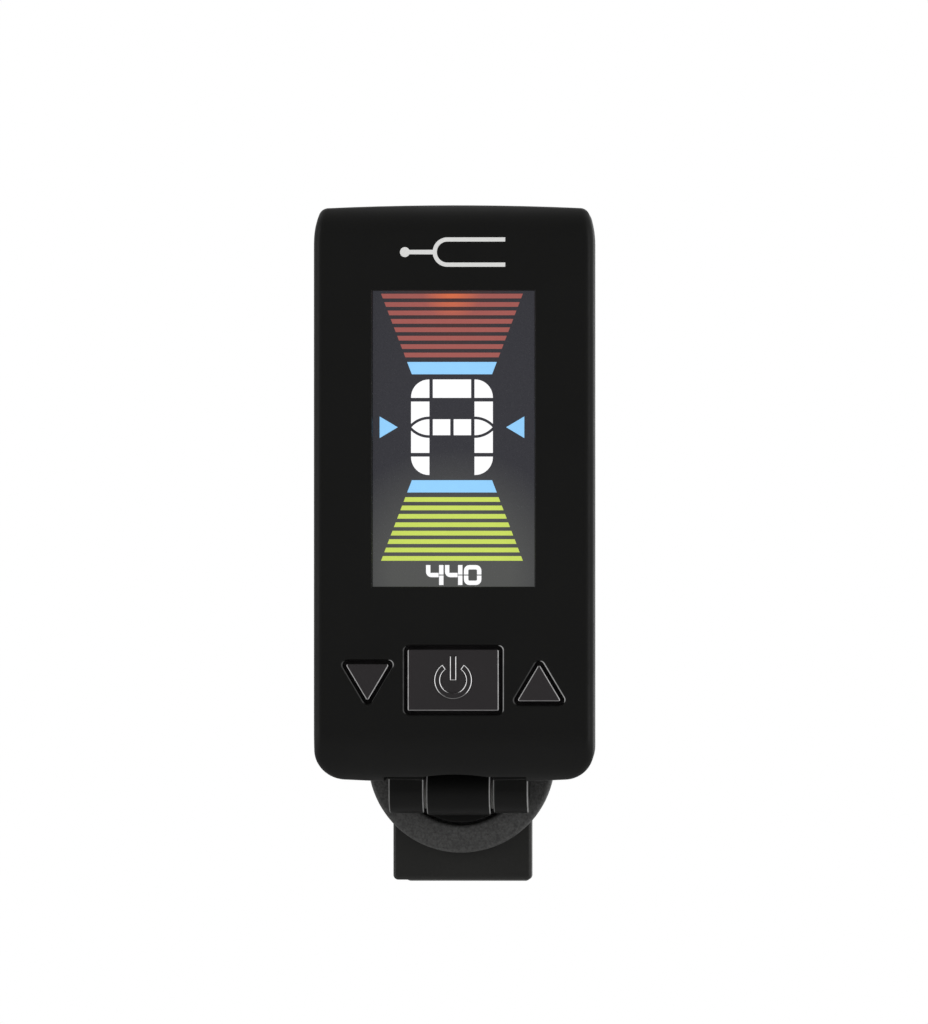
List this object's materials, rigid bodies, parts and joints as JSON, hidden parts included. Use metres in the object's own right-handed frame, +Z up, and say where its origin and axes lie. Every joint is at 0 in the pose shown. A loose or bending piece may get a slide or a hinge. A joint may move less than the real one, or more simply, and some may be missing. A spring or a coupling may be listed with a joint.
{
  "type": "clip-on tuner",
  "caption": "Display tuner head with buttons on a tilt hinge and swivel, carried by a sprung clip with rubber pads.",
  "frame": {"origin": "centre of the front jaw pad's gripping face", "axes": "+X to the right of the display as the player sees it, +Y from the front pad into the gripped headstock, +Z up along the head at rest"},
  "size_m": [0.028, 0.0369, 0.0679],
  "materials": {
    "casing_black": "moulded ABS, fine satin",
    "door_black": "moulded ABS, fine satin",
    "lens_clear": "clear polished acrylic",
    "lcd_glass": "polished, dark",
    "light_guide": "milky acrylic",
    "led_white": "moulded",
    "frame_black": "moulded",
    "elastomer": "layered conductive rubber",
    "board_green": "solder-masked laminate",
    "chip_black": "moulded epoxy",
    "crystal_can": "plain",
    "small_parts": "ceramic",
    "switch_body": "moulded",
    "plunger_white": "moulded",
    "button_grey": "moulded, matt",
    "cell_steel": "stamped nickel-plated steel",
    "contact_metal": "plated spring strip",
    "brass_plate": "plain",
    "ceramic_white": "silvered ceramic",
    "lead_red": "thin insulation",
    "screw_steel": "blackened",
    "pin_steel": "plain",
    "washer_nylon": "plain",
    "hinge_black": "moulded, satin",
    "ring_black": "moulded, spark-eroded matt",
    "clip_black": "moulded, satin",
    "pad_rubber": "moulded",
    "spring_steel": "bright wire"
  },
  "bodies": {
    "clip_base": {"clip_front_jaw": "clip_black", "front_jaw_pad": "pad_rubber", "clip_pin": "pin_steel", "torsion_spring": "spring_steel", "swivel_housing": "ring_black", "wave_washer": "spring_steel"},
    "clip_lever": {"clip_rear_jaw": "clip_black", "rear_jaw_pad": "pad_rubber"},
    "swivel": {"swivel_plate": "hinge_black", "swivel_screw": "screw_steel"},
    "head": {"front_shell": "casing_black", "rear_shell": "casing_black", "case_screws": "screw_steel", "display_lens": "lens_clear", "lcd_panel": "lcd_glass", "elastomer_connector": "elastomer", "backlight_guide": "light_guide", "backlight_leds": "led_white", "lcd_frame": "frame_black", "main_board": "board_green", "controller_chip": "chip_black", "crystal": "crystal_can", "board_components": "small_parts", "tact_switches": "switch_body", "coin_cell": "cell_steel", "battery_contact_positive": "contact_metal", "battery_contact_negative": "contact_metal", "piezo_plate": "brass_plate", "piezo_ceramic": "ceramic_white", "piezo_leads": "lead_red", "tilt_pin": "pin_steel", "tilt_washers": "washer_nylon"},
    "down_button": {"down_button": "button_grey", "down_plunger": "plunger_white"},
    "power_button": {"power_button": "button_grey", "power_plunger": "plunger_white"},
    "up_button": {"up_button": "button_grey", "up_plunger": "plunger_white"},
    "battery_door": {"battery_door": "door_black"}
  },
  "joints": [
    {"name": "clip_open", "type": "hinge", "parent": "clip_base", "child": "clip_lever", "pos_m": [0, 0.0058, 0.0205], "axis": [1, 0, 0], "range_deg": [0, 40], "stiffness_Nm_per_rad": 0.25, "deforming": ["torsion_spring"]},
    {"name": "head_swivel", "type": "hinge", "parent": "clip_base", "child": "swivel", "pos_m": [0, -0.0064, 0.004], "axis": [0, 1, 0], "continuous": true},
    {"name": "head_tilt", "type": "hinge", "parent": "swivel", "child": "head", "pos_m": [0, -0.0088, 0.00085], "axis": [1, 0, 0], "range_deg": [0, 115]},
    {"name": "down_press", "type": "slide", "parent": "head", "child": "down_button", "axis": [0, 1, 0], "range_m": [0, 0.0003], "stiffness_N_per_m": 1500},
    {"name": "power_press", "type": "slide", "parent": "head", "child": "power_button", "axis": [0, 1, 0], "range_m": [0, 0.0003], "stiffness_N_per_m": 1500},
    {"name": "up_press", "type": "slide", "parent": "head", "child": "up_button", "axis": [0, 1, 0], "range_m": [0, 0.0003], "stiffness_N_per_m": 1500},
    {"name": "door_slide", "type": "slide", "parent": "head", "child": "battery_door", "axis": [0, 0, 1], "range_m": [0, 0.028]}
  ]
}
